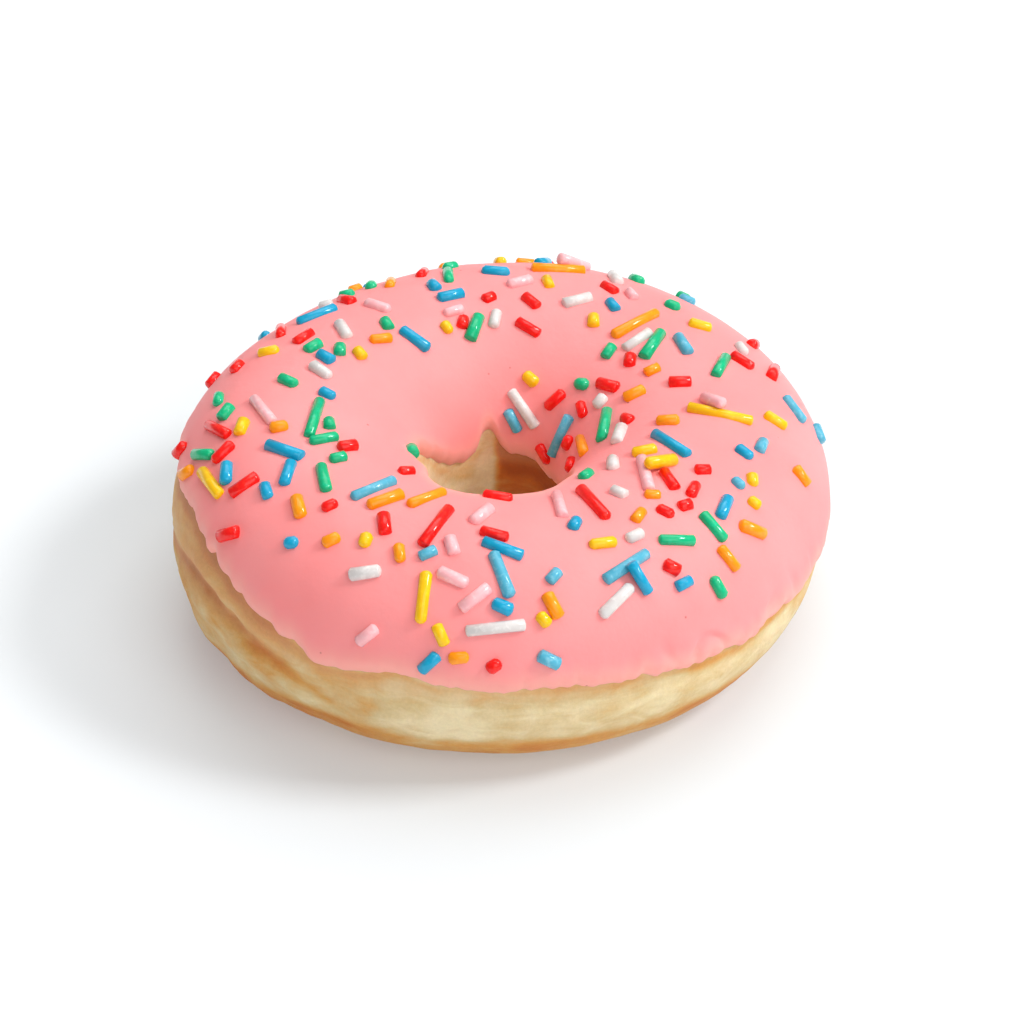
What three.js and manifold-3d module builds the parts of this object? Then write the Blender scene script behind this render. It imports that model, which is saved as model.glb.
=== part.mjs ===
// Sprinkle frosted doughnut. Millimetres, +Z up, resting on z = 0.
//
// A fried yeast ring, a little taller on its left, under a thin set coat of pink icing. The icing
// runs over the crest, down outside to an uneven edge near the widest line, and down inside into
// the hole. Short sugar strands lie partly sunk in it, in loose clusters.
//
// A place on the ring is two angles in degrees. The turn goes round the ring from +X through +Y.
// The slope goes round its section: 0 at the widest line, 90 on the crest, 180 on the wall of the
// hole and -90 underneath.
import Module from 'manifold-3d';
import * as THREE from 'three';
import { mergeVertices } from 'three/addons/utils/BufferGeometryUtils.js';

// ---- Driving dimensions ----

// A value that changes round the ring is a mean, with waves (how many times round, size, turn of a
// high) and bends at single places (turn, width, size).
const RING = {
  radius: { mean: 45.4, waves: [[1, 0.4, 254], [2, 1.6, 40], [3, 0.7, 69]] }, // to the widest line
  hole: { mean: 10, waves: [[1, 1.2, 222], [2, 0.8, 55]] }, // radius at its narrowest
  height: { mean: 31.4, waves: [[1, 2.2, 165]] }, // taller on the left
  waist: 0.46, // the widest line, as a share of the height
  topRoundness: 2.2, // 2 is an ellipse, more is squarer
  baseRoundness: 2.6,
  footSag: 0.4, // how far the round base is pressed flat where it rests
};

const FOLD = {
  slope: { mean: 0, bends: [[208, 12, 7], [242, 8, -12]] },
  depth: { mean: 0.15, bends: [[214, 16, 0.85]] },
  width: 4,
  lip: 0.4, // height of the dough's swell beside the fold, as a share of the depth
};

const ICING = {
  gap: 0.3, // the icing and the dough are separate solids
  thickness: 1.0,
  swell: { size: 0.16, turns: 3, slopes: 2.5, start: 40 }, // how the coat grows thicker and thinner
  lip: 1.5, // how far in from its edge the coat has its full thickness
  outerEdge: {
    mean: 9,
    waves: [[1, 10, 185], [2, 3, 6], [3, 3, 57], [13, 0.5, 2], [23, 0.5, 12], [37, 0.4, 0]],
    bends: [[206, 14, 9], [241, 10, -4], [252, 4, 4], [310, 9, -4]],
  },
  innerEdge: {
    mean: 155,
    waves: [[1, 34, 78], [2, 12, -9], [7, 0.8, -7]],
    bends: [[104, 12, -12], [222, 17, 20], [270, 18, 7]],
  },
};

const STRAND = {
  diameter: 1.7,
  thinnest: 0.96, // as a share of the usual diameter
  thickest: 1.16,
  shortest: 2.1,
  longest: 8.6,
  sides: 6,
  endRound: 0.45, // how far each end is domed, as a share of the radius
  seat: 0.1, // height of the centre line above the icing
  hug: 0.6, // how far the middle of a strand over a bend sinks to the icing
  leastSolid: 2.7, // shorter crumbs of strand are not part of the solid
};

// Strands are scattered thinly over the crest of the ring and lie thick on a few patches.
const SCATTER = {
  count: 190,
  leaning: { count: 8, shortest: 4.2, longest: 6, pile: 1.6 }, // with one end up on another strand
  crest: 84, // the slope on which they lie thickest
  spread: 36, // how far from it they thin out, in degrees of slope
  thin: 0.15, // how thick they lie on the crest between the patches
  patches: [ // turn and slope of the middle, reach in millimetres, how thick they lie there
    [200, 66, 6, 0.8], [219, 82, 4.5, 1], [256, 66, 8, 0.8], [265, 28, 6, 0.7], [319, 72, 5.5, 1.1],
    [38, 93, 4.5, 1.3], [14, 135, 5, 1.5], [54, 160, 5, 1.2], [108, 78, 8, 0.45], [148, 84, 7, 0.4],
  ],
  apart: 1.7, // least distance between the centre lines of two strands
  fromEdge: 4, // least slope between a strand's end and the icing's edge
  tries: 300,
  seed: 8,
  shares: { red: 22, yellow: 14, orange: 14, blue: 13, green: 10, lightBlue: 9, white: 9, pink: 9 },
};

const TURNS = 54;
const DOUGH_ROWS = 28;
const DOUGH_ROW_CROWDING = 35; // degrees by which rows crowd towards the widest line, for the fold
const ICING_TOP_ROWS = 15;
const ICING_ROW_CROWDING = 0.45; // share by which rows crowd towards the two edges, for round lips
const ICING_UNDER_ROWS = 11;

const SECTION = (RING.radius.mean - RING.hole.mean) / 2; // half the width of the ring's section

const MERGE_DISTANCE = 1e-5;

const LOOKS = {
  dough: { color: 0xe9d3a0, roughness: 0.7, metalness: 0 },
  icing: { color: 0xfba6a4, roughness: 0.35, metalness: 0 },
};

// ---- Helpers ----

// A seeded draw from 0 to 1.
let seed = SCATTER.seed;
function draw() {
  seed = (1664525 * seed + 1013904223) % 4294967296;
  return seed / 4294967296;
}

const radians = (degrees) => degrees * Math.PI / 180;
const power = (x, exponent) => Math.sign(x) * Math.abs(x) ** exponent;
const blend = (from, to, share) => from + (to - from) * share;

// The short way round from one turn to another.
const turnFrom = (turn, centre) => ((turn - centre + 540) % 360 + 360) % 360 - 180;
const bump = (distance, width) => Math.exp(-((distance / width) ** 2));
const total = (list, term) => list.reduce((sum, item) => sum + term(item), 0);

// The value of such a mean with waves and bends at one turn.
function around({ mean, waves = [], bends = [] }, turn) {
  return mean
    + total(waves, ([times, size, high]) => size * Math.cos(radians(times * (turn - high))))
    + total(bends, ([at, width, size]) => size * bump(turnFrom(turn, at), width));
}

// ---- The ring's surface ----

const outerEdge = (turn) => around(ICING.outerEdge, turn);
const innerEdge = (turn) => around(ICING.innerEdge, turn);

// A point on the plain ring, moved off it by the lift.
function onRing(turn, slope, lift) {
  const t = radians(turn);
  const s = radians(slope);
  const outer = around(RING.radius, turn);
  const inner = around(RING.hole, turn);
  const height = around(RING.height, turn);
  const waist = RING.waist * height;
  const up = Math.sin(s) >= 0;
  const roundness = 2 / (up ? RING.topRoundness : RING.baseRoundness);
  const rise = up ? height - waist + lift : waist + RING.footSag + lift;
  const radius = (outer + inner) / 2 + ((outer - inner) / 2 + lift) * power(Math.cos(s), roundness);
  const z = waist + rise * power(Math.sin(s), roundness);
  return new THREE.Vector3(radius * Math.cos(t), radius * Math.sin(t), Math.max(z, 0));
}

// The fold that rising leaves along the side of the dough, deep on the left and faint in front.
function foldRelief(turn, slope) {
  const away = Math.abs(slope - around(FOLD.slope, turn));
  const swell = FOLD.lip * bump(away - 2 * FOLD.width, FOLD.width);
  return around(FOLD.depth, turn) * (swell - bump(away, FOLD.width));
}

function onDough(turn, slope) {
  const side = slope > 180 ? slope - 360 : slope;
  const below = Math.min(1, Math.max(0, (outerEdge(turn) - side) / (2 * FOLD.width)));
  return onRing(turn, slope, below * foldRelief(turn, side));
}

// ---- Solids ----

const wasm = await Module();
wasm.setup();

function toSolid(geometry) {
  geometry.deleteAttribute('normal');
  geometry.deleteAttribute('uv');
  const merged = mergeVertices(geometry, MERGE_DISTANCE);
  return new wasm.Manifold(new wasm.Mesh({
    numProp: 3,
    vertProperties: merged.attributes.position.array,
    triVerts: new Uint32Array(merged.index.array),
  }));
}

function toGeometry(solid) {
  const mesh = solid.getMesh();
  const geometry = new THREE.BufferGeometry();
  geometry.setAttribute('position', new THREE.BufferAttribute(mesh.vertProperties, 3));
  geometry.setIndex(new THREE.BufferAttribute(mesh.triVerts, 1));
  geometry.computeVertexNormals();
  return geometry;
}

// A torus whose points are moved to where place(turn, row) puts them, row counting round the tube.
function ringGeometry(rows, place) {
  const geometry = new THREE.TorusGeometry(2, 1, rows, TURNS);
  const { position, uv } = geometry.attributes;
  for (let i = 0; i < position.count; i++) {
    const turn = 360 / TURNS * (Math.round(uv.getX(i) * TURNS) % TURNS);
    const row = Math.round(uv.getY(i) * rows) % rows;
    position.setXYZ(i, ...place(turn, row).toArray());
  }
  return geometry;
}

function doughGeometry() {
  return ringGeometry(DOUGH_ROWS, (turn, row) => {
    const even = 360 / DOUGH_ROWS * row;
    return onDough(turn, even - DOUGH_ROW_CROWDING * Math.sin(radians(even)));
  });
}

// Where the coat's top lies over the dough: a round lip at each edge, gently uneven between.
function icingLift(turn, slope) {
  const { size, turns, slopes, start } = ICING.swell;
  const swell = size * Math.sin(radians(turns * turn + start)) * Math.sin(radians(slopes * slope + turn));
  const fromEdge = Math.min(slope - outerEdge(turn), innerEdge(turn) - slope);
  const share = Math.min(1, Math.max(0, radians(fromEdge) * SECTION / ICING.lip));
  return ICING.gap + (ICING.thickness + swell) * Math.sqrt(1 - (1 - share) ** 2);
}

// Rows crowd towards the two edges, so that the lips come out round.
const crowded = (share) => blend(share, (1 - Math.cos(Math.PI * share)) / 2, ICING_ROW_CROWDING);

function icingGeometry() {
  return ringGeometry(ICING_TOP_ROWS + ICING_UNDER_ROWS, (turn, row) => {
    const onTop = row <= ICING_TOP_ROWS;
    const share = onTop
      ? crowded(row / ICING_TOP_ROWS)
      : 1 - (row - ICING_TOP_ROWS) / ICING_UNDER_ROWS;
    const slope = blend(outerEdge(turn), innerEdge(turn), share);
    return onRing(turn, slope, onTop ? icingLift(turn, slope) : ICING.gap);
  });
}

// A round sugar strand along +Y with domed ends.
function strandGeometry(length, thickness) {
  const radius = thickness / 2;
  const geometry = new THREE.CylinderGeometry(radius, radius, length, STRAND.sides, 1);
  const { position } = geometry.attributes;
  for (let i = 0; i < position.count; i++) {
    const onRim = Math.hypot(position.getX(i), position.getZ(i)) > radius / 2;
    const end = Math.sign(position.getY(i)) * (length / 2 - (onRim ? STRAND.endRound * radius : 0));
    position.setY(i, end);
  }
  return geometry;
}

// Two strands are held apart by stations along their centre lines, at these shares of the length.
const STATION_SHARES = [-0.4, -0.2, 0, 0.2, 0.4];

const seatOn = ({ turn, slope }, rise) =>
  onRing(turn, slope, icingLift(turn, slope) + STRAND.seat + rise);

// The place that lies a distance away over the ring, on a heading from the way round.
function placeFrom({ turn, slope }, heading, distance) {
  const { x, y } = onRing(turn, slope, 0);
  return {
    turn: turn + distance * Math.cos(heading) / radians(Math.hypot(x, y)),
    slope: slope + distance * Math.sin(heading) / radians(SECTION),
  };
}

const halfway = (from, to) => ({ turn: (from.turn + to.turn) / 2, slope: (from.slope + to.slope) / 2 });

// A strand between two places, with its second end raised, sunk a little where the ring bends.
function strandBetween(from, to, rise) {
  const start = seatOn(from, 0);
  const end = seatOn(to, rise);
  const seat = seatOn(halfway(from, to), rise / 2);
  const middle = start.clone().add(end).multiplyScalar(0.5).lerp(seat, STRAND.hug);
  const direction = end.clone().sub(start).normalize();
  const length = start.distanceTo(end);
  const stations = STATION_SHARES.map((share) => middle.clone().addScaledVector(direction, share * length));
  return { from, to, middle, direction, length, stations };
}

const isOnIcing = ({ turn, slope }) =>
  slope > outerEdge(turn) + SCATTER.fromEdge && slope < innerEdge(turn) - SCATTER.fromEdge;

const isClear = (strand, others) => strand.stations.every((point) =>
  others.every((other) => other.stations.every((station) => station.distanceTo(point) > SCATTER.apart)));

// A place on the upper half of the ring, where the narrower rounds near the hole get fewer draws.
function drawPlace() {
  const turn = 360 * draw();
  const slope = 180 * draw();
  const { x, y } = onRing(turn, slope, 0);
  return draw() * around(RING.radius, turn) < Math.hypot(x, y) ? { turn, slope } : drawPlace();
}

// How thick the strands lie at a place, where 1 or more keeps every strand drawn there.
function thickness({ turn, slope }) {
  const here = onRing(turn, slope, 0);
  const patches = total(SCATTER.patches, ([patchTurn, patchSlope, reach, thick]) =>
    thick * bump(here.distanceTo(onRing(patchTurn, patchSlope, 0)), reach));
  return SCATTER.thin * bump(slope - SCATTER.crest, SCATTER.spread) + patches;
}

// A strand of the wanted length on a drawn place, clear of the strands that are down already.
function looseStrand(length, others) {
  for (let i = 0; i < SCATTER.tries; i++) {
    const middle = drawPlace();
    const heading = Math.PI * draw();
    if (draw() > thickness(middle)) continue;
    const from = placeFrom(middle, heading, -length / 2);
    const to = placeFrom(middle, heading, length / 2);
    const strand = strandBetween(from, to, 0);
    if (isOnIcing(from) && isOnIcing(to) && isClear(strand, others)) return strand;
  }
  return null;
}

// A strand with its second end up on the middle of another one, which it crosses.
function leaningStrand(under, others) {
  const middle = halfway(under.from, under.to);
  const { shortest, longest, pile } = SCATTER.leaning;
  const from = placeFrom(middle, 2 * Math.PI * draw(), blend(shortest, longest, draw()));
  const strand = strandBetween(from, middle, pile);
  return isOnIcing(from) && isClear(strand, others) ? strand : null;
}

// A colour, as likely as its share among the strands.
function drawColour() {
  const colours = Object.entries(SCATTER.shares);
  let left = draw() * total(colours, ([, share]) => share);
  for (const [colour, share] of colours) {
    left -= share;
    if (left < 0) return colour;
  }
}

// All strands. The largest come first, so that they find room.
function layStrands() {
  const lengths = Array.from({ length: SCATTER.count }, () =>
    blend(STRAND.shortest, STRAND.longest, draw() * draw()));
  const strands = [];
  for (const length of lengths.sort((a, b) => b - a)) {
    const strand = looseStrand(length, strands);
    if (strand) strands.push(strand);
  }
  for (const under of strands.slice(0, SCATTER.leaning.count)) {
    const others = strands.filter((strand) => strand !== under);
    const strand = leaningStrand(under, others);
    if (strand) strands.push(strand);
  }
  for (const strand of strands) {
    strand.colour = drawColour();
    strand.thickness = STRAND.diameter * blend(STRAND.thinnest, STRAND.thickest, draw());
  }
  return strands;
}

function icingSolid() {
  const yAxis = new THREE.Vector3(0, 1, 0);
  let solid = toSolid(icingGeometry());
  for (const strand of layStrands()) {
    if (strand.length < STRAND.leastSolid) continue;
    const geometry = strandGeometry(strand.length, strand.thickness);
    geometry.applyQuaternion(new THREE.Quaternion().setFromUnitVectors(yAxis, strand.direction));
    geometry.translate(...strand.middle.toArray());
    solid = solid.add(toSolid(geometry));
  }
  return solid;
}

// ---- The doughnut ----

function partMesh(name, geometry) {
  const mesh = new THREE.Mesh(geometry, new THREE.MeshStandardMaterial(LOOKS[name]));
  mesh.name = name;
  return mesh;
}

const doughnut = new THREE.Group();
doughnut.add(partMesh('dough', toGeometry(toSolid(doughGeometry()))));
doughnut.add(partMesh('icing', toGeometry(icingSolid())));

// The origin is under the middle of the whole doughnut.
const centre = new THREE.Box3().setFromObject(doughnut).getCenter(new THREE.Vector3());
doughnut.position.set(-centre.x, -centre.y, 0);

export default doughnut;
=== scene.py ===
# %% [markdown]
# # A sprinkle frosted doughnut
#
# A yeast ring fried in oil, dipped face down in pink icing, turned over and scattered with short
# sugar strands while the icing was wet. This notebook dresses the solid model in three steps: the
# dough, the coat of icing, and the strands. Everything hangs on one idea. A place on the ring is
# two angles, the turn round the ring and the slope round its section, and one function says where
# that place is. The dough, the coat and each strand all ask the same function, so they always fit.

# %% Load the frame
import math
from functools import lru_cache

import bmesh
import bpy
from mathutils import Matrix, Vector, noise


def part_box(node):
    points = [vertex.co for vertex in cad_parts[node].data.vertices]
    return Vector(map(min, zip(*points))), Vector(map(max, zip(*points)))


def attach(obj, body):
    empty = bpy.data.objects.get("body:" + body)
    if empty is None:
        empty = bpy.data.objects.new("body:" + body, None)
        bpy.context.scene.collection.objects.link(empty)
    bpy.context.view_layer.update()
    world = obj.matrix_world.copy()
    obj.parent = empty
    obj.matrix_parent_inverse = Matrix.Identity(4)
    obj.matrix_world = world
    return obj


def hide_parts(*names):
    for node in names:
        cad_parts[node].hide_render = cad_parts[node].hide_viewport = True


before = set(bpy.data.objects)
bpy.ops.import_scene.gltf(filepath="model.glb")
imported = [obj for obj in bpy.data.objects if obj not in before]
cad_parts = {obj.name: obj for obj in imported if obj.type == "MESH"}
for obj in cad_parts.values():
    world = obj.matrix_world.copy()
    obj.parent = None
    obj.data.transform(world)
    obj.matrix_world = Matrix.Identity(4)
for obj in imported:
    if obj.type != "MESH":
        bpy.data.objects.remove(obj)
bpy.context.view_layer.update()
MM = 0.001  # one millimetre in metres

# %% [markdown]
# ## The sizes of the ring
#
# All sizes are in millimetres and all angles in degrees, because that is how a baker or a maker
# would measure the thing. The turn runs from +X through +Y. The slope is 0 at the widest line,
# 90 on the crest, 180 on the wall of the hole and -90 underneath. A real ring is never round or
# level, so a value that changes round the ring is a mean, with waves (how many times round, size,
# turn of a high) and bends at single places (turn, width, size).

# %% Sizes
CHANGING = {
    "radius": {"mean": 45.4, "waves": [(1, 0.4, 254), (2, 1.6, 40), (3, 0.7, 69)]},  # to the widest line
    "hole": {"mean": 10, "waves": [(1, 1.2, 222), (2, 0.8, 55)]},  # radius at its narrowest
    "height": {"mean": 31.4, "waves": [(1, 2.2, 165)]},  # taller on the left
    "fold_slope": {"mean": 0, "bends": [(208, 12, 7), (242, 8, -12)]},
    "fold_depth": {"mean": 0.15, "bends": [(214, 16, 0.85)]},
    "foot_slope": {"mean": -28, "bends": [(240, 20, 5), (290, 24, 5)]},  # where the browned foot begins
    "outer_edge": {
        "mean": 9,
        "waves": [(1, 10, 185), (2, 3, 6), (3, 3, 57), (13, 0.5, 2), (23, 0.5, 12), (37, 0.4, 0)],
        "bends": [(206, 14, 9), (241, 10, -4), (252, 4, 4), (310, 9, -4)],
    },
    "inner_edge": {
        "mean": 155,
        "waves": [(1, 34, 78), (2, 12, -9), (7, 0.8, -7)],
        "bends": [(104, 12, -12), (222, 17, 20), (270, 18, 7)],
    },
}
RING = {
    "waist": 0.46,  # the widest line, as a share of the height
    "top_roundness": 2.2,  # 2 is an ellipse, more is squarer
    "base_roundness": 2.6,
    "foot_sag": 0.4,  # how far the round base is pressed flat
}
FOLD = {"width": 4, "lip": 0.4}  # the lip is the dough's swell beside the fold, as a share of its depth
ICING = {
    "gap": 0.3,  # the solid coat keeps this distance to the solid dough
    "thickness": 1.0,
    "swell": {"size": 0.16, "turns": 3, "slopes": 2.5, "start": 40},
    "lip": 1.5,  # how far in from its edge the coat has its full thickness
}
SECTION = (CHANGING["radius"]["mean"] - CHANGING["hole"]["mean"]) / 2  # half the ring's width

# %% [markdown]
# ## Waves, steps and bumps
#
# Shapes made by formula are built from a few small functions: a smooth step from one value to
# another, and a bump that is highest at one place and fades on both sides. Each is written once
# here, so that the longer formulas below read almost like a sentence.

# %% Small helpers for angles and bumps


def power(value, exponent):
    """A power that keeps the sign of its value."""
    return math.copysign(abs(value) ** exponent, value)


def blend(start, end, share):
    """From start at a share of 0 to end at a share of 1."""
    return start + (end - start) * share


def smooth(low, high, value):
    """0 below low, 1 above high, and an easy rise between."""
    share = min(1, max(0, (value - low) / (high - low)))
    return share * share * (3 - 2 * share)


def turn_from(turn, centre):
    """The short way round from one turn to another."""
    return (turn - centre + 540) % 360 - 180


def bump(distance, width):
    """1 in the middle, fading on both sides within about twice the width."""
    return math.exp(-((distance / width) ** 2))


@lru_cache(maxsize=None)
def around(name, turn):
    """What one of the changing values is at a turn."""
    line = CHANGING[name]
    waves = [
        size * math.cos(math.radians(times * (turn - high)))
        for times, size, high in line.get("waves", [])
    ]
    bends = [size * bump(turn_from(turn, at), width) for at, width, size in line.get("bends", [])]
    return line["mean"] + sum(waves) + sum(bends)


# %% [markdown]
# ## Where a place on the ring is
#
# A torus has a round section. A doughnut's section is a rounded square that is flat where it rests,
# so the cosine and sine are raised to a power below one (a superellipse), with one power for the
# part above the widest line and another for the part below. The lift moves a place straight off the
# surface, which is how the coat and the strands find their height.

# %% The ring's surface


def on_ring(turn, slope, lift):
    """The point at a turn and a slope, lifted off the surface, in mm from the ring's middle."""
    t = math.radians(turn)
    s = math.radians(slope)
    outer = around("radius", turn)
    inner = around("hole", turn)
    height = around("height", turn)
    waist = RING["waist"] * height
    above = math.sin(s) >= 0
    roundness = 2 / (RING["top_roundness"] if above else RING["base_roundness"])
    rise = height - waist + lift if above else waist + RING["foot_sag"] + lift
    radius = (outer + inner) / 2 + ((outer - inner) / 2 + lift) * power(math.cos(s), roundness)
    z = waist + rise * power(math.sin(s), roundness)
    return Vector((radius * math.cos(t), radius * math.sin(t), max(z, 0)))


def fold_relief(turn, slope):
    """The fold that rising leaves along the side, deep on the left and faint in front."""
    away = abs(slope - around("fold_slope", turn))
    swell = FOLD["lip"] * bump(away - 2 * FOLD["width"], FOLD["width"])
    return around("fold_depth", turn) * (swell - bump(away, FOLD["width"]))


def signed(slope):
    """The slope counted from -180 to 180, so that the outside is around 0."""
    return slope - 360 if slope > 180 else slope


def bare(turn, slope):
    """1 where the dough shows, 0 under the coat."""
    side = signed(slope)
    outside = (around("outer_edge", turn) - side) / (2 * FOLD["width"])
    inside = (slope - around("inner_edge", turn)) / (2 * FOLD["width"])
    return min(1, max(0, outside, inside))


print("crest in front at, mm:", [round(value, 1) for value in on_ring(270, 90, 0)])

# %% [markdown]
# ## Where the ring stands
#
# The solid model's origin is under the middle of the whole doughnut. The functions above count from
# the middle of the ring instead, so the one step between the two is measured from the solid dough.

# %% The step from the ring's middle to the model's origin
widest = [on_ring(turn, 0, 0) for turn in range(360)]
ring_middle = Vector((
    (min(p.x for p in widest) + max(p.x for p in widest)) / 2,
    (min(p.y for p in widest) + max(p.y for p in widest)) / 2,
    0,
))
dough_low, dough_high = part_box("dough")
solid_middle = (dough_low + dough_high) / 2 / MM
HOME = Vector((solid_middle.x - ring_middle.x, solid_middle.y - ring_middle.y, 0))
print("step to the origin, mm:", [round(value, 2) for value in HOME])

# %% [markdown]
# ## From a torus to a ring of dough
#
# Both the dough and the coat begin as the same thing: a circle spun round the middle, which bmesh
# closes into a torus. Then each vertex is asked for its two angles and sent to its place. The spin
# keeps the mesh an even grid of quads with no seam, and moving vertices afterwards is how relief is
# sculpted in code. A value at each vertex, kept as an attribute, goes along for the materials.

# %% Spinning a torus and sending its vertices home
TORUS = {"radius": 2, "tube": 1, "cuts": 3}  # any plain torus will do, only its angles are read


def ring_object(name, turns, rows, place):
    """A closed ring; place(turn, row) gives a vertex's position in mm and a value to keep."""
    mesh = bmesh.new()
    upright = Matrix.Translation((TORUS["radius"], 0, 0)) @ Matrix.Rotation(math.radians(90), 4, "X")
    parts = TORUS["cuts"] + 1
    bmesh.ops.create_circle(mesh, segments=rows // parts, radius=TORUS["tube"], matrix=upright)
    bmesh.ops.spin(
        mesh,
        geom=mesh.verts[:] + mesh.edges[:],
        cent=(0, 0, 0),
        axis=(0, 0, 1),
        angle=math.radians(360),
        steps=turns // parts,
        use_merge=True,
    )
    bmesh.ops.subdivide_edges(mesh, edges=mesh.edges[:], cuts=TORUS["cuts"], use_grid_fill=True)
    kept = mesh.verts.layers.float.new("surface")
    for vert in mesh.verts:
        turn = round(math.degrees(math.atan2(vert.co.y, vert.co.x)) / 360 * turns) % turns
        out = math.hypot(vert.co.x, vert.co.y) - TORUS["radius"]
        row = round(math.degrees(math.atan2(vert.co.z, out)) / 360 * rows) % rows
        position, value = place(360 / turns * turn, row)
        vert.co = (position + HOME) * MM
        vert[kept] = value
    bmesh.ops.recalc_face_normals(mesh, faces=mesh.faces[:])
    return finished(name, mesh)


def finished(name, mesh):
    """Turns a bmesh into a smooth-shaded object at the origin."""
    data = bpy.data.meshes.new(name)
    mesh.to_mesh(data)
    mesh.free()
    data.shade_smooth()
    piece = bpy.data.objects.new(name, data)
    bpy.context.scene.collection.objects.link(piece)
    print(f"{name}: {len(data.vertices)} vertices, {len(data.polygons)} faces")
    return piece


# %% [markdown]
# ## The dough
#
# Fried dough is pale where it floated above the oil and golden where it lay in it, which is why a
# ring doughnut has a cream band round its side and a brown foot. Rising leaves a fold on the left,
# soft lumps, fine wrinkles and a few short pleats. They could be left to a bump in the material.
# Moving the vertices was chosen, because that shows in the outline too: noise of three sizes makes
# the lumps and wrinkles, and a narrow bump makes each pleat.

# %% Relief of the dough
DOUGH = {
    "turns": 360,
    "rows": 168,
    "crowding": 24,  # degrees by which rows crowd towards the widest line
    "left_turn": 203,  # the middle of the side that rose most
    "left_spread": 36,
    # mm from one lump or wrinkle to the next, its depth, and its depth on the left
    "lumps": [(9, 0.22, 0.34), (4, 0.06, 0.3), (1.8, 0.04, 0.16)],
    # turn, slope, width in degrees and depth in mm of short upright pleats under the icing's edge
    "pleats": [(248, -2, 0.9, 0.45), (231, 4, 1.2, 0.3), (219, 6, 1.3, 0.4), (283, -8, 1.1, 0.2)],
    "pleat_height": 6,  # degrees of slope over which a pleat fades
}


def leftness(turn):
    """1 on the left, where the dough rose most and where its browning paints shade, as that side is turned
    from the light.
    """
    return bump(turn_from(turn, DOUGH["left_turn"]), DOUGH["left_spread"])


def dough_lift(turn, slope):
    """The relief of bare dough: the fold, the lumps and wrinkles, and the pleats."""
    side = signed(slope)
    plain = on_ring(turn, slope, 0)
    left = leftness(turn)
    lumps = [
        blend(depth, on_left, left) * noise.noise(plain / size)
        for size, depth, on_left in DOUGH["lumps"]
    ]
    pleats = [
        -depth * bump(turn_from(turn, at), width) * bump(side - middle, DOUGH["pleat_height"])
        for at, middle, width, depth in DOUGH["pleats"]
    ]
    return bare(turn, slope) * (fold_relief(turn, side) + sum(lumps) + sum(pleats))


# %% [markdown]
# ## How brown the dough is, and where shade is painted on it
#
# Frying browns dough in bands: a foot that lay in the oil, and the bottom of the hole. The same
# number also paints shade where less light falls: a line in the fold and a band under the icing's
# edge, both on the left, a thin line just under the icing's lip all round, the left side as a whole,
# and the right of the hole's wall, so that wall is pale on the far left and brown on the right. A
# picture painted by hand could say so. One number at each vertex was chosen, worked out from the same
# turn and slope as the shape, so a band lies exactly on its fold or lip.

# %% How brown each place is, and where shade is painted
BROWNING_AND_SHADE = {
    "pale": 0.04,
    "patches": [(7, 0.14), (2.5, 0.08)],  # millimetres across, how much browner
    "upper_band": {"more": 0.14, "from": 3, "to": -3},  # between the fold and the icing
    # painted shade: the whole left side, turned from the light, is made darker and browner
    "left": 0.29,
    "right": {"more": 0.16, "turn": 335, "width": 48},
    "foot": {"more": 0.36, "from": -10, "to": 4},  # from and to: degrees of slope below its line
    # bands: how much browner, how far their middle lies below their line, and their width
    "foot_line": {"more": 0.04, "below": 0, "width": 2.5},
    # painted shadow: a thin dark line just under the icing's lip, all round
    "lip_shadow": {"more": 0.18, "below": 1, "width": 2},  # just under the icing's lip
    # painted shade: a darker band under the icing's edge, on the left
    "shade_under_icing": {"more": 0.36, "below": 3, "width": 3.5},  # on the left only
    # painted shade: a dark line in the groove of the fold, on the left
    "crease": {"more": 0.42, "below": 1, "width": 3},  # in the fold, on the left only
    "hole_rim": {"more": 0.42, "below": 3, "width": 5},  # under the icing's lip in the hole
    # the hole's wall: fried brown at the bottom, and painted shade on the right, which is turned from the
    # light
    "hole": 0.64,
}
HOLE_BORDERS = {  # in degrees, each wandering to both sides by as much again, over so many mm
    # the wall border is painted shade: the right of the hole darker than its lit far left
    "wall": {"pale": 104, "brown": 92, "wander": 6, "apart": 4},  # turn from +X, either way
    "depth": {"pale": 200, "brown": 232, "wander": 12, "apart": 5},  # slope
}


def band(name, distance):
    """How much browner a band makes a place that lies so many degrees below its line."""
    line = BROWNING_AND_SHADE[name]
    return line["more"] * bump(distance - line["below"], line["width"])


def rise(name, distance):
    """How much browner a broad area makes a place that lies so many degrees below its line."""
    area = BROWNING_AND_SHADE[name]
    return area["more"] * smooth(area["from"], area["to"], distance)


def border(name, value, point):
    """0 on the pale side of a wandering border in the hole and 1 on its brown side."""
    line = HOLE_BORDERS[name]
    wander = line["wander"] * noise.noise(point / line["apart"])
    return smooth(line["pale"], line["brown"], value + wander)


def hole_browning_and_shade(turn, slope, point):
    """Pale on the far left wall, golden under the icing's lip, fried brown below, and darker on the right as
    painted shade.
    """
    wall = border("wall", abs(turn_from(turn, 0)), point)
    depth = border("depth", slope, point)
    rim = band("hole_rim", slope - around("inner_edge", turn))
    calm = BROWNING_AND_SHADE["patches"][0][1] * (1 - wall)  # the pale wall has hardly a brown patch
    return BROWNING_AND_SHADE["hole"] * max(wall, depth) + rim - calm


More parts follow.
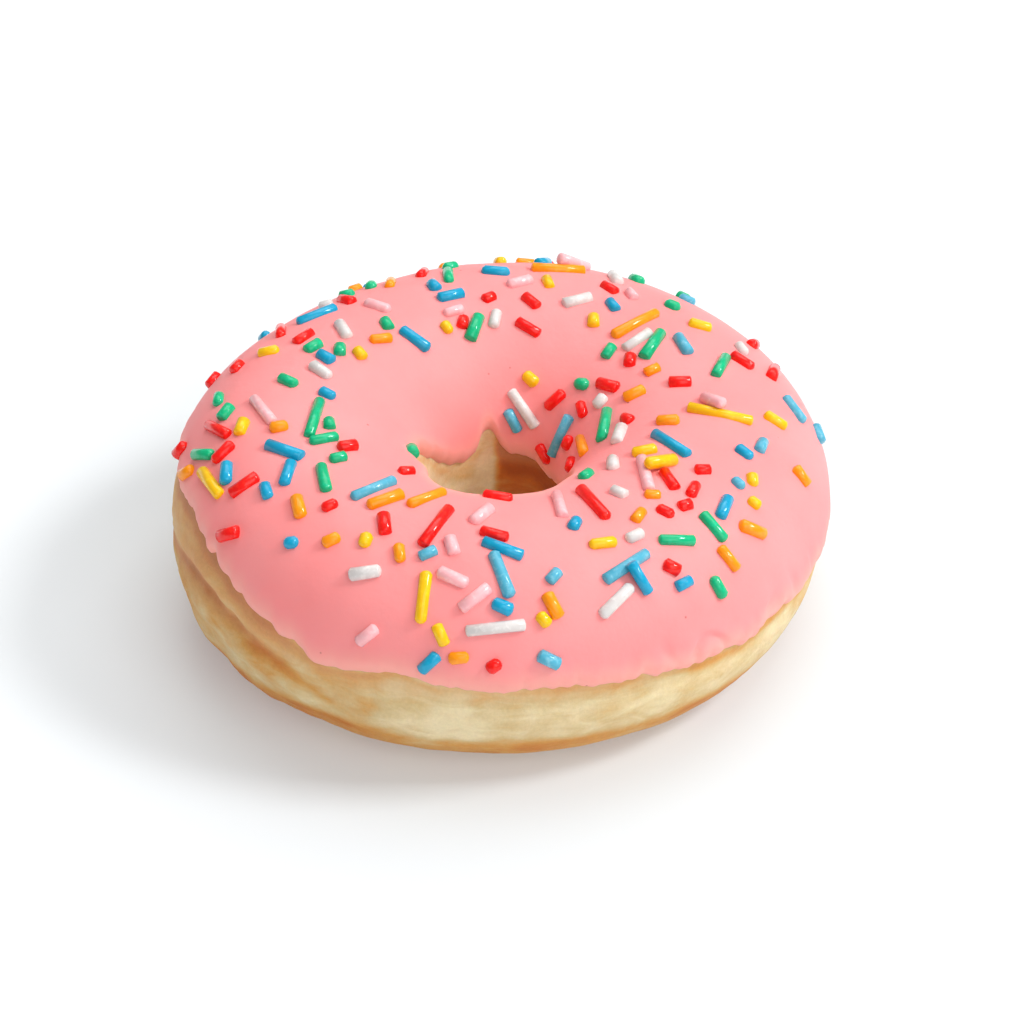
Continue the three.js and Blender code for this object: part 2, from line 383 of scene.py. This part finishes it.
def side_browning_and_shade(turn, side):
    """The bands and broad areas on the outer side: the fried foot, a browner stretch at the right, and
    painted shade on the left, in the fold and under the icing's lip.
    """
    left = leftness(turn)
    right = BROWNING_AND_SHADE["right"]
    below_icing = around("outer_edge", turn) - side
    below_fold = around("fold_slope", turn) - side
    below_foot_line = around("foot_slope", turn) - side
    on_left = BROWNING_AND_SHADE["left"] + band("shade_under_icing", below_icing) + band("crease", below_fold)
    on_right = right["more"] * bump(turn_from(turn, right["turn"]), right["width"])
    areas = rise("upper_band", below_fold) + rise("foot", below_foot_line)
    lines = band("lip_shadow", below_icing) + band("foot_line", below_foot_line)
    return left * on_left + on_right + areas + lines


def dough_browning_and_shade(turn, slope):
    """0 is pale cream, 0.5 golden and 1 deep brown; painted shade counts on the same scale."""
    side = signed(slope)
    point = on_ring(turn, slope, 0)
    patches = sum(more * noise.noise(point / size) for size, more in BROWNING_AND_SHADE["patches"])
    in_hole = slope > 90 and (side > 0 or side < -90)
    more = hole_browning_and_shade(turn, slope, point) if in_hole else side_browning_and_shade(turn, side)
    return min(1, max(0, BROWNING_AND_SHADE["pale"] + patches + more))


print("brown in front:", round(dough_browning_and_shade(270, 0), 2), "on the left:", round(dough_browning_and_shade(210, 0), 2))

# %% The ring of dough


def dough_place(turn, row):
    """Where a vertex of the dough goes, and how brown it is, painted shade included."""
    even = 360 / DOUGH["rows"] * row
    slope = even - DOUGH["crowding"] * math.sin(math.radians(even))
    return on_ring(turn, slope, dough_lift(turn, slope)), dough_browning_and_shade(turn, slope)


dough = ring_object("fried_dough", DOUGH["turns"], DOUGH["rows"], dough_place)

# %% [markdown]
# ## The coat of icing
#
# Poured icing sets as a skin about a millimetre thick. It has a round lip where it stopped, it is
# never quite even, and near its edge it creeps into small crinkles as it dries. A copy of the
# dough's faces with the Solidify modifier would do, but its edge would follow the grid in steps.
# So the coat is a ring of its own, whose section is a flat loop: the rows on top go from the outer
# edge to the inner one, and the rest come back underneath, pressed a little into the dough so that
# no gap shows at the lip.

# %% Sizes of the coat
COAT = {
    "turns": 720,
    "top_rows": 118,
    "under_rows": 14,
    "crowding": 0.45,  # how much the rows on top crowd towards the lips
    "unevenness": [(9, 0.16), (3.5, 0.05)],  # mm from one swell to the next and its height
    "press": -0.6,  # lift of its underside
    "lip": 2.6,  # how far in from its edge the visible lip rounds off
    "inward": 0.08,  # its height is read this share farther in, clear of the solid coat's own lip
    "thin_rim": 4.5,  # how far in from its edge the icing looks thin
    # mm from one drip to the next, and the degrees of slope by which it moves the edge
    "drips": [(6, 1.2), (2.6, 2.2), (1.4, 1.8)],
    "calm": 14,  # mm from one restless stretch of the edge to the next
    "unrest": 1.6,  # how much more it wanders there than elsewhere
}
CRINKLES = {
    "turn": 315,
    "spread": 20,  # degrees of turn over which they fade
    "above_edge": 10,  # degrees of slope above the edge
    "band": 9,  # degrees of slope over which they fade
    "swell_size": 2.4,  # mm from one swell to the next
    "swell_height": 0.3,
    "crack_size": 5.5,  # mm from one crack to the next
    "crack_width": 0.2,  # a crack is where the noise is this close to zero
    "crack_depth": 0.65,
}

# %% The coat's surface and edge


def icing_lift(turn, slope):
    """Height of the solid coat's top over the dough; the strands sit on this."""
    swell = ICING["swell"]
    wave = math.sin(math.radians(swell["turns"] * turn + swell["start"]))
    uneven = swell["size"] * wave * math.sin(math.radians(swell["slopes"] * slope + turn))
    from_edge = min(slope - around("outer_edge", turn), around("inner_edge", turn) - slope)
    share = min(1, max(0, math.radians(from_edge) * SECTION / ICING["lip"]))
    return ICING["gap"] + (ICING["thickness"] + uneven) * math.sqrt(1 - (1 - share) ** 2)


def crinkle(turn, slope):
    """Swells and thin curved cracks where the drying coat crept, near its edge at the front right."""
    above_edge = slope - around("outer_edge", turn)
    near = bump(turn_from(turn, CRINKLES["turn"]), CRINKLES["spread"])
    near *= bump(above_edge - CRINKLES["above_edge"], CRINKLES["band"])
    point = on_ring(turn, slope, 0)
    swell = CRINKLES["swell_height"] * noise.noise(point / CRINKLES["swell_size"])
    from_crack = noise.noise(point / CRINKLES["crack_size"])
    crack = CRINKLES["crack_depth"] * bump(from_crack, CRINKLES["crack_width"])
    return near * (swell - crack)


@lru_cache(maxsize=None)
def fine_edge(turn, slope):
    """How a lip near that slope wanders in small drips on top of the long waves of the edge."""
    point = on_ring(turn, slope, 0)
    unrest = 1 + COAT["unrest"] * noise.noise(point / COAT["calm"])
    return unrest * sum(size * noise.noise(point / apart) for apart, size in COAT["drips"])


print("top of the coat over the dough in front, mm:", round(icing_lift(270, 90), 2))

# %% The coat


def coat_place(turn, row):
    """Where a vertex of the coat goes, and how full the coat is there."""
    on_top = row <= COAT["top_rows"]
    share = row / COAT["top_rows"] if on_top else 1 - (row - COAT["top_rows"]) / COAT["under_rows"]
    if on_top:
        share = blend(share, (1 - math.cos(math.pi * share)) / 2, COAT["crowding"])
    low = around("outer_edge", turn) + fine_edge(turn, 0)
    high = around("inner_edge", turn) + fine_edge(turn, 180)
    slope = blend(low, high, share)
    from_edge = math.radians(min(slope - low, high - slope)) * SECTION
    if not on_top:
        return on_ring(turn, slope, COAT["press"]), 0
    round_off = min(1, max(0, from_edge / COAT["lip"]))
    lip = math.sqrt(1 - (1 - round_off) ** 2)
    full = icing_lift(turn, blend(slope, (low + high) / 2, COAT["inward"]))
    point = on_ring(turn, slope, 0)
    uneven = sum(size * noise.noise(point / apart) for apart, size in COAT["unevenness"])
    lift = COAT["press"] + (full - COAT["press"]) * lip + (crinkle(turn, slope) + uneven) * round_off
    return on_ring(turn, slope, lift), smooth(0, COAT["thin_rim"], from_edge)


icing = ring_object("pink_icing", COAT["turns"], COAT["top_rows"] + COAT["under_rows"], coat_place)

# %% [markdown]
# ## Where the strands lie
#
# Strands are shaken on by hand, so they fall in loose clusters with bare icing between. A rule does
# the shaking here. Places are drawn evenly over the top of the ring and kept with a chance that is
# small between the clusters and large in them, and a strand stays only where it lies clear of those
# that are down already. The longest come first, because they need the most room. The draw is a
# small formula with a fixed start, so it gives the same strands every time, and the solid model,
# which follows the same rule with the same start, has them in the same places.

# %% The strands' sizes and places
STRAND = {
    "diameter": 1.7,
    "thinnest": 0.96,  # as a share of the usual diameter
    "thickest": 1.16,
    "shortest": 2.1,
    "longest": 8.6,
    "seat": 0.1,  # height of the centre line above the icing
    "hug": 0.6,  # how far the middle of a strand over a bend sinks to the icing
}
SCATTER = {
    "count": 190,
    "leaning": {"count": 8, "shortest": 4.2, "longest": 6, "pile": 1.6},  # one end up on another strand
    "crest": 84,  # the slope on which they lie thickest
    "spread": 36,  # how far from it they thin out, in degrees of slope
    "thin": 0.15,  # how thick they lie on the crest between the patches
    # turn and slope of a patch's middle, its reach in millimetres and how thick they lie there
    "patches": [
        (200, 66, 6, 0.8), (219, 82, 4.5, 1), (256, 66, 8, 0.8), (265, 28, 6, 0.7), (319, 72, 5.5, 1.1),
        (38, 93, 4.5, 1.3), (14, 135, 5, 1.5), (54, 160, 5, 1.2), (108, 78, 8, 0.45), (148, 84, 7, 0.4),
    ],
    "apart": 1.7,  # least distance between the centre lines of two strands
    "from_edge": 4,  # least slope between a strand's end and the icing's edge
    "tries": 300,
    "seed": 8,
    "shares": {
        "red": 22, "yellow": 14, "orange": 14, "blue": 13,
        "green": 10, "light_blue": 9, "white": 9, "pink": 9,
    },
}

# %% A seeded draw
DRAW = {"times": 1664525, "plus": 1013904223, "limit": 4294967296}  # a well-known rule for draws


class Dice:
    """A seeded draw from 0 to 1, the same on every machine."""

    def __init__(self, seed):
        self.seed = seed

    def draw(self):
        self.seed = (DRAW["times"] * self.seed + DRAW["plus"]) % DRAW["limit"]
        return self.seed / DRAW["limit"]


dice = Dice(SCATTER["seed"])

# %% One strand on the icing
STATION_SHARES = (-0.4, -0.2, 0, 0.2, 0.4)  # places along a strand at which its distance is tested


def seat_on(place, rise):
    """Where a strand's centre line lies over a place on the icing."""
    turn, slope = place
    return on_ring(turn, slope, icing_lift(turn, slope) + STRAND["seat"] + rise)


def place_from(place, heading, distance):
    """The place that lies a distance away over the ring, on a heading from the way round."""
    turn, slope = place
    here = on_ring(turn, slope, 0)
    way_round = distance * math.cos(heading) / math.radians(1) / math.hypot(here.x, here.y)
    return turn + way_round, slope + distance * math.sin(heading) / math.radians(SECTION)


def halfway(start, end):
    """The place in the middle between two places."""
    return (start[0] + end[0]) / 2, (start[1] + end[1]) / 2


def strand_between(start_place, end_place, rise):
    """A strand with its second end raised, sunk a little where the ring bends."""
    start = seat_on(start_place, 0)
    end = seat_on(end_place, rise)
    seat = seat_on(halfway(start_place, end_place), rise / 2)
    middle = ((start + end) / 2).lerp(seat, STRAND["hug"])
    along = end - start
    return {
        "places": (start_place, end_place),
        "middle": middle,
        "direction": along.normalized(),
        "length": along.length,
        "stations": [middle + along * share for share in STATION_SHARES],
    }


def is_on_icing(place):
    """Whether a place lies on the coat, clear of both its edges."""
    turn, slope = place
    low = around("outer_edge", turn) + SCATTER["from_edge"]
    return low < slope < around("inner_edge", turn) - SCATTER["from_edge"]


def is_clear(strand, others):
    """Whether no station of the strand comes too near one of the others."""
    for other in others:
        reach = strand["length"] + other["length"] + SCATTER["apart"]
        if (other["middle"] - strand["middle"]).length > reach:
            continue
        for point in strand["stations"]:
            if any((point - station).length <= SCATTER["apart"] for station in other["stations"]):
                return False
    return True


# %% Drawing a place


def draw_place():
    """A place on the top, where the narrower rounds near the hole get fewer draws."""
    while True:
        turn = 360 * dice.draw()
        slope = 180 * dice.draw()
        here = on_ring(turn, slope, 0)
        if dice.draw() * around("radius", turn) < math.hypot(here.x, here.y):
            return turn, slope


patch_middles = [on_ring(turn, slope, 0) for turn, slope, reach, thick in SCATTER["patches"]]


def thickness(place):
    """How thick the strands lie, where 1 or more keeps every strand drawn there."""
    here = on_ring(*place, 0)
    patches = [
        thick * bump((here - middle).length, reach)
        for middle, (turn, slope, reach, thick) in zip(patch_middles, SCATTER["patches"])
    ]
    return SCATTER["thin"] * bump(place[1] - SCATTER["crest"], SCATTER["spread"]) + sum(patches)


# %% Drawing a strand


def loose_strand(length, others):
    """A strand of the wanted length on a drawn place, or nothing if no place was clear."""
    for attempt in range(SCATTER["tries"]):
        middle = draw_place()
        heading = math.pi * dice.draw()
        if dice.draw() > thickness(middle):
            continue
        start = place_from(middle, heading, -length / 2)
        end = place_from(middle, heading, length / 2)
        if is_on_icing(start) and is_on_icing(end):
            strand = strand_between(start, end, 0)
            if is_clear(strand, others):
                return strand
    return None


def leaning_strand(under, others):
    """A strand with its second end up on the middle of another one."""
    middle = halfway(*under["places"])
    leaning = SCATTER["leaning"]
    heading = 2 * math.pi * dice.draw()
    start = place_from(middle, heading, blend(leaning["shortest"], leaning["longest"], dice.draw()))
    strand = strand_between(start, middle, leaning["pile"])
    return strand if is_on_icing(start) and is_clear(strand, others) else None


def draw_colour():
    """A colour, as likely as its share among the strands."""
    left = dice.draw() * sum(SCATTER["shares"].values())
    for colour, share in SCATTER["shares"].items():
        left -= share
        if left < 0:
            return colour


# %% Laying them all


def lay_strands():
    """All strands, the longest first, each with its places, colour and thickness."""
    shortest, longest = STRAND["shortest"], STRAND["longest"]
    lengths = [
        blend(shortest, longest, dice.draw() * dice.draw())  # short ones are the most common
        for number in range(SCATTER["count"])
    ]
    strands = []
    for length in sorted(lengths, reverse=True):
        strand = loose_strand(length, strands)
        if strand:
            strands.append(strand)
    for under in strands[: SCATTER["leaning"]["count"]]:
        strand = leaning_strand(under, [other for other in strands if other is not under])
        if strand:
            strands.append(strand)
    for strand in strands:
        strand["colour"] = draw_colour()
        strand["thickness"] = STRAND["diameter"] * blend(STRAND["thinnest"], STRAND["thickest"], dice.draw())
    return strands


strands = lay_strands()
print(len(strands), "strands laid")

# %% [markdown]
# ## The shape of a strand
#
# Sugar strands are paste pushed through a plate with small holes, dried and broken up, so each is a
# smooth rod with a blunt, slightly domed end. A sphere of few faces makes one: its two halves are
# pulled apart along the rod and each dome is pressed flatter. All strands of a colour are one mesh,
# because hundreds of objects would only slow the scene down.

# %% Strands
ROD = {
    "sides": 12,
    "rings": 5,
    "flattest": 0.3,  # how far an end domes out, as a share of the rod's radius
    "roundest": 0.95,
    "uneven": 0.05,  # how much thicker one end may be than the middle
}


def add_rod(mesh, strand, shape_dice):
    """Adds one strand to a mesh: a sphere pulled apart into a rod and laid in its place."""
    radius = strand["thickness"] / 2
    dome = radius * blend(ROD["flattest"], ROD["roundest"], shape_dice.draw())
    reach = strand["length"] / 2 - dome
    taper = ROD["uneven"] * (2 * shape_dice.draw() - 1)
    turned = strand["direction"].to_track_quat("Z", "Y").to_matrix().to_4x4()
    placed = Matrix.Scale(MM, 4) @ Matrix.Translation(strand["middle"] + HOME) @ turned
    ball = bmesh.ops.create_uvsphere(mesh, u_segments=ROD["sides"], v_segments=ROD["rings"], radius=1)
    for vert in ball["verts"]:
        end = math.copysign(1, vert.co.z)
        wide = radius * (1 + taper * end)
        vert.co = Vector((vert.co.x * wide, vert.co.y * wide, vert.co.z * dome + end * reach))
    bmesh.ops.transform(mesh, matrix=placed, verts=ball["verts"])


def strands_object(colour):
    """All strands of one colour as one piece."""
    mesh = bmesh.new()
    shape_dice = Dice(len(colour))
    for strand in strands:
        if strand["colour"] == colour:
            add_rod(mesh, strand, shape_dice)
    bmesh.ops.recalc_face_normals(mesh, faces=mesh.faces[:])
    return finished(f"{colour}_strands", mesh)


strand_pieces = {colour: strands_object(colour) for colour in SCATTER["shares"]}

# %% [markdown]
# ## Materials
#
# A material here is a small network of nodes that ends in one Principled shader. One function adds
# a node, sets its values and links its inputs, so that a network reads from top to bottom like a
# recipe. Where sockets share a name, as the two colours of a Mix node do, their number stands for
# them. Colours are written as the hex numbers a painter would pick from a screen and turned to the
# linear values that light is counted in.

# %% Colours and nodes


def linear(hex_colour):
    """An sRGB hex colour as linear red, green, blue and full opacity."""
    channels = [int(hex_colour[i : i + 2], 16) / 255 for i in (1, 3, 5)]
    return [c / 12.92 if c <= 0.04045 else ((c + 0.055) / 1.055) ** 2.4 for c in channels] + [1]


def add_node(tree, kind, values=None, links=None, **settings):
    """Adds a node: settings are its own, values go on its sockets, links come from other sockets."""
    node = tree.nodes.new(kind)
    for name, setting in settings.items():
        setattr(node, name, setting)
    for name, value in (values or {}).items():
        node.inputs[name].default_value = value
    for name, source in (links or {}).items():
        tree.links.new(source, node.inputs[name])
    return node


def new_material(name):
    """A material with an empty network, and that network."""
    material = bpy.data.materials.new(name)
    material.use_nodes = True
    material.node_tree.nodes.clear()
    return material, material.node_tree


def per_mm(size):
    """The scale of a noise whose patches are that many millimetres wide."""
    return 1 / (size * MM)


print("half grey on the screen is this much light:", round(linear("#808080")[0], 3))

# %% [markdown]
# ### Fried yeast dough
#
# The skin of fried dough is dull, a little translucent, and finely mottled where flour and bubbles
# meet the oil. Its colour follows how brown each place is, with its painted shade, which the mesh
# already carries. Patches wider than high push that number up and down, so that no border is clean,
# and a colour ramp turns it into cream, gold and brown. A thin film of pale sugar lies on the upper
# side, where the ring was dipped.

# %% Colour of the dough
dough_material, tree = new_material("fried_yeast_dough")
place = add_node(tree, "ShaderNodeTexCoord").outputs["Object"]
# how brown each place is, with the painted shade of the left, the fold, the icing's lip and the hole's right
brown = add_node(tree, "ShaderNodeAttribute", attribute_name="surface").outputs["Fac"]
streaked = add_node(  # the patches are less high than wide
    tree, "ShaderNodeVectorMath", {1: (1, 1, 2.4)}, {0: place}, operation="MULTIPLY"
).outputs[0]
patches = add_node(
    tree, "ShaderNodeTexNoise", {"Scale": per_mm(6), "Detail": 4, "Roughness": 0.58, "Distortion": 0.8},
    {"Vector": streaked},
)
patch_push = add_node(
    tree, "ShaderNodeMath", {1: 0.5, 2: -0.25}, {0: patches.outputs["Fac"]}, operation="MULTIPLY_ADD"
)
browned = add_node(
    tree, "ShaderNodeMath", {}, {0: brown, 1: patch_push.outputs[0]}, operation="ADD", use_clamp=True
)
crust_and_shade = add_node(tree, "ShaderNodeValToRGB", {}, {"Fac": browned.outputs[0]})
for position, colour in ((0.2, "#dabf8b"), (0.42, "#d59b4f"), (0.7, "#c66c18")):
    crust_and_shade.color_ramp.elements.new(position).color = linear(colour)
crust_and_shade.color_ramp.elements[0].color = linear("#ecdab0")
crust_and_shade.color_ramp.elements[-1].color = linear("#ac540a")
height = add_node(tree, "ShaderNodeSeparateXYZ", {}, {"Vector": place}).outputs["Z"]
film = add_node(
    tree, "ShaderNodeMapRange",
    {"From Min": 13.5 * MM, "From Max": 16.5 * MM, "To Min": 0.0, "To Max": 0.3},
    {"Value": height}, interpolation_type="SMOOTHSTEP",
)
filmed = add_node(
    tree, "ShaderNodeMix", {7: linear("#e6bd94")}, {0: film.outputs["Result"], 6: crust_and_shade.outputs["Color"]},
    data_type="RGBA",
)

# %% Grain, wrinkles and shader of the dough
grain = add_node(
    tree, "ShaderNodeTexNoise", {"Scale": per_mm(0.5), "Detail": 4, "Roughness": 0.7}, {"Vector": place}
)
grain_shade = add_node(
    tree, "ShaderNodeMapRange", {"From Min": 0.35, "From Max": 0.65, "To Min": 0.95, "To Max": 1.03},
    {"Value": grain.outputs["Fac"]},
)
speckled = add_node(
    tree, "ShaderNodeVectorMath", {}, {0: filmed.outputs[2], 1: grain_shade.outputs["Result"]},
    operation="MULTIPLY",
)
creases = add_node(
    tree, "ShaderNodeTexNoise", {"Scale": per_mm(1.3), "Detail": 5, "Roughness": 0.65}, {"Vector": place}
)
relief = add_node(
    tree, "ShaderNodeBump", {"Strength": 0.6, "Distance": 0.35 * MM}, {"Height": creases.outputs["Fac"]}
)
dough_shader = add_node(
    tree, "ShaderNodeBsdfPrincipled",
    {"Roughness": 0.62, "IOR": 1.42, "Subsurface Weight": 0.35, "Subsurface Scale": 1.2 * MM,
     "Subsurface Radius": (1.0, 0.45, 0.2)},
    {"Base Color": speckled.outputs[0], "Normal": relief.outputs["Normal"]},
)
add_node(tree, "ShaderNodeOutputMaterial", {}, {"Surface": dough_shader.outputs["BSDF"]})
print(dough_material.name, "has", len(tree.nodes), "nodes")

# %% [markdown]
# ### Set sugar icing
#
# Fondant icing sets to a satin skin: smooth enough for soft highlights, never a mirror. The pink is
# slightly uneven, and paler and warmer at the lip, where the coat is thin and the dough shines
# through. A few dark specks of crumb lie in it. A little light goes through the sugar, which
# subsurface scattering gives, so its shadows stay pink.

# %% Colour of the icing
icing_material, tree = new_material("set_sugar_icing")
place = add_node(tree, "ShaderNodeTexCoord").outputs["Object"]
cover = add_node(tree, "ShaderNodeAttribute", attribute_name="surface").outputs["Fac"]
clouds = add_node(
    tree, "ShaderNodeTexNoise", {"Scale": per_mm(14), "Detail": 2, "Roughness": 0.5}, {"Vector": place}
)
pink = add_node(
    tree, "ShaderNodeMix", {6: linear("#fd8c8c"), 7: linear("#ffa1a1")}, {0: clouds.outputs["Fac"]},
    data_type="RGBA",
)
lipped = add_node(
    tree, "ShaderNodeMix", {6: linear("#fcaca0")}, {0: cover, 7: pink.outputs[2]}, data_type="RGBA"
)
crumbs = add_node(
    tree, "ShaderNodeTexVoronoi", {"Scale": per_mm(5.5), "Randomness": 1.0}, {"Vector": place}
)
speck = add_node(
    tree, "ShaderNodeMapRange", {"From Min": 0.02, "From Max": 0.045, "To Min": 0.6, "To Max": 0.0},
    {"Value": crumbs.outputs["Distance"]},
)
specked = add_node(
    tree, "ShaderNodeMix", {7: linear("#8f3a34")}, {0: speck.outputs["Result"], 6: lipped.outputs[2]},
    data_type="RGBA",
)

# %% Satin, skin and shader of the icing
skin = add_node(
    tree, "ShaderNodeTexNoise", {"Scale": per_mm(0.9), "Detail": 3, "Roughness": 0.55}, {"Vector": place}
)
satin = add_node(
    tree, "ShaderNodeMapRange", {"From Min": 0.3, "From Max": 0.7, "To Min": 0.52, "To Max": 0.6},
    {"Value": clouds.outputs["Fac"]},
)
relief = add_node(
    tree, "ShaderNodeBump", {"Strength": 0.45, "Distance": 0.1 * MM}, {"Height": skin.outputs["Fac"]}
)
icing_shader = add_node(
    tree, "ShaderNodeBsdfPrincipled",
    {"IOR": 1.4, "Specular IOR Level": 0.22, "Subsurface Weight": 0.2, "Subsurface Scale": 1.0 * MM,
     "Subsurface Radius": (1.0, 0.4, 0.35)},
    {"Base Color": specked.outputs[2], "Roughness": satin.outputs["Result"],
     "Normal": relief.outputs["Normal"]},
)
add_node(tree, "ShaderNodeOutputMaterial", {}, {"Surface": icing_shader.outputs["BSDF"]})
print(icing_material.name, "has", len(tree.nodes), "nodes")

# %% [markdown]
# ### Glazed sugar strands
#
# The strands are coloured sugar paste polished with confectioner's glaze, so each has a narrow
# bright streak along its top. A smooth thin coat over a rougher, hardly shiny body gives that
# streak without greying the dye. The dye is never even: a fine noise lets paler sugar through.

# %% Strand materials
STRAND_COLOURS = {  # the dye, and the paler sugar that shows through it
    "blue": ("#009dc6", "#10b0d6"),
    "light_blue": ("#50adc8", "#84c8da"),
    "green": ("#00b67a", "#16cc98"),
    "yellow": ("#f8c000", "#fdd51c"),
    "orange": ("#ff9600", "#ffab14"),
    "red": ("#f80c06", "#ff341c"),
    "white": ("#d8d2cf", "#efebe8"),
    "pink": ("#fab4b8", "#fed2d4"),
}


def strand_material(colour, deep, pale):
    """Glazed sugar of one colour."""
    material, tree = new_material(f"glazed_sugar_{colour}")
    place = add_node(tree, "ShaderNodeTexCoord").outputs["Object"]
    sugar = add_node(
        tree, "ShaderNodeTexNoise", {"Scale": per_mm(0.8), "Detail": 3, "Roughness": 0.6}, {"Vector": place}
    )
    share = add_node(
        tree, "ShaderNodeMapRange", {"From Min": 0.5, "From Max": 0.8}, {"Value": sugar.outputs["Fac"]}
    )
    dyed = add_node(
        tree, "ShaderNodeMix", {6: linear(deep), 7: linear(pale)}, {0: share.outputs["Result"]},
        data_type="RGBA",
    )
    pits = add_node(
        tree, "ShaderNodeBump", {"Strength": 0.3, "Distance": 0.08 * MM}, {"Height": sugar.outputs["Fac"]}
    )
    shader = add_node(
        tree, "ShaderNodeBsdfPrincipled",
        {"Roughness": 0.4, "IOR": 1.48, "Specular IOR Level": 0.15, "Coat Weight": 0.6,
         "Coat Roughness": 0.06},
        {"Base Color": dyed.outputs[2], "Normal": pits.outputs["Normal"]},
    )
    add_node(tree, "ShaderNodeOutputMaterial", {}, {"Surface": shader.outputs["BSDF"]})
    return material


# %% [markdown]
# ## Dressing the model
#
# The solid model stays in the scene for collision and is hidden. Each new piece takes its finish,
# hides the solid it stands for, and rides on the doughnut's one body. The coat and all the strands
# stand for the same solid, because there they are fused.

# %% Materials on pieces, pieces on the body
pieces = [(dough, dough_material, "dough", "fried_dough"), (icing, icing_material, "icing", "pink_icing")]
for colour, piece in strand_pieces.items():
    pieces.append((piece, strand_material(colour, *STRAND_COLOURS[colour]), "icing", "pink_icing"))
for piece, material, node, slot in pieces:
    piece.data.materials.append(material)
    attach(piece, "root")
    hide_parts(node)
print(len(pieces), "pieces dressed")

# %% [markdown]
# ## Table, light and camera
#
# A white table stands under three lamps: a small strong one on the right, which draws the shadow,
# and two large soft ones in front and behind. The table throws their light back up under the ring,
# which is what makes the pale side of the dough glow. The table itself glows more with distance
# from the ring, and the sky is brighter above, so that the ground ends as plain white as it does
# on a lit backdrop.

# %% Table
TABLE_SIZE = 3000
mesh = bmesh.new()
bmesh.ops.create_circle(mesh, cap_ends=True, segments=96, radius=TABLE_SIZE / 2 * MM)
table_top = finished("table", mesh)
table_material, tree = new_material("glowing_white_table")
place = add_node(tree, "ShaderNodeTexCoord").outputs["Object"]
from_middle = add_node(tree, "ShaderNodeVectorMath", {}, {0: place}, operation="LENGTH")
# painted light: the table glows, weakly near the ring so the ground there stays darker, as if shaded, and
# more farther out so it ends white
glow = add_node(
    tree, "ShaderNodeMapRange", {"From Min": 60 * MM, "From Max": 120 * MM, "To Min": 0.25, "To Max": 0.6},
    {"Value": from_middle.outputs["Value"]}, interpolation_type="SMOOTHSTEP",
)
table_shader = add_node(
    tree, "ShaderNodeBsdfPrincipled",
    {"Base Color": linear("#c5cacd"), "Roughness": 0.9, "Emission Color": linear("#ffffff")},
    {"Emission Strength": glow.outputs["Result"]},
)
add_node(tree, "ShaderNodeOutputMaterial", {}, {"Surface": table_shader.outputs["BSDF"]})
table_top.data.materials.append(table_material)

# %% Sky
scene = bpy.context.scene
scene.view_settings.view_transform = "Standard"
world = bpy.data.worlds.new("white_room")
world.use_nodes = True
tree = world.node_tree
sky = tree.nodes["Background"]
sky.inputs["Color"].default_value = (1, 1, 1, 1)
way = add_node(tree, "ShaderNodeTexCoord").outputs["Generated"]
parts = add_node(tree, "ShaderNodeSeparateXYZ", {}, {"Vector": way})
brightness = add_node(
    tree, "ShaderNodeMapRange", {"From Min": -1, "From Max": 1, "To Min": 0.1, "To Max": 0.4},
    {"Value": parts.outputs["Z"]},
)
tree.links.new(brightness.outputs["Result"], sky.inputs["Strength"])
scene.world = world

# %% Lamps
LAMPS = {
    "key": {"azimuth": 0, "elevation": 45, "distance": 1800, "size": 450, "power": 18.8},
    "front": {"azimuth": -65, "elevation": 38, "distance": 1800, "size": 1500, "power": 13},
    "back": {"azimuth": 75, "elevation": 64, "distance": 1800, "size": 1500, "power": 17},
}


def add_lamp(name, setup):
    """A square lamp that faces the doughnut, its azimuth counted from +X towards +Y."""
    lamp = bpy.data.lights.new(name, "AREA")
    lamp.energy = setup["power"]
    lamp.size = setup["size"] * MM
    side = math.radians(setup["azimuth"])
    up = math.radians(setup["elevation"])
    way = Vector((math.cos(side) * math.cos(up), math.sin(side) * math.cos(up), math.sin(up)))
    holder = bpy.data.objects.new(name, lamp)
    holder.location = way * setup["distance"] * MM
    holder.rotation_euler = way.to_track_quat("Z", "Y").to_euler()
    scene.collection.objects.link(holder)


for name, setup in LAMPS.items():
    add_lamp(name, setup)
print(len(LAMPS), "lamps")

# %% [markdown]
# ## Camera
#
# The camera looks down at about 36 degrees, which shows the top, the side and the far wall of the
# hole at once. A long lens from some way off keeps the ring from looking swollen in front.

# %% Camera
VIEW = {
    "target": (0.99, -3.135, 15),  # in mm, from the ring's middle
    "distance": 450,
    "elevation": 36.355,
    "lens": 111.98,
}
NEAREST = 10  # nothing nearer to the camera than this is drawn
FARTHEST = 10000
up = math.radians(VIEW["elevation"])
way = Vector((0, -math.cos(up), math.sin(up)))
camera_data = bpy.data.cameras.new("camera")
camera_data.lens = VIEW["lens"]
camera_data.clip_start = NEAREST * MM
camera_data.clip_end = FARTHEST * MM
camera = bpy.data.objects.new("camera", camera_data)
camera.location = (Vector(VIEW["target"]) + HOME + way * VIEW["distance"]) * MM
camera.rotation_euler = way.to_track_quat("Z", "Y").to_euler()
scene.collection.objects.link(camera)
scene.camera = camera
print("camera at, mm:", [round(value / MM) for value in camera.location])
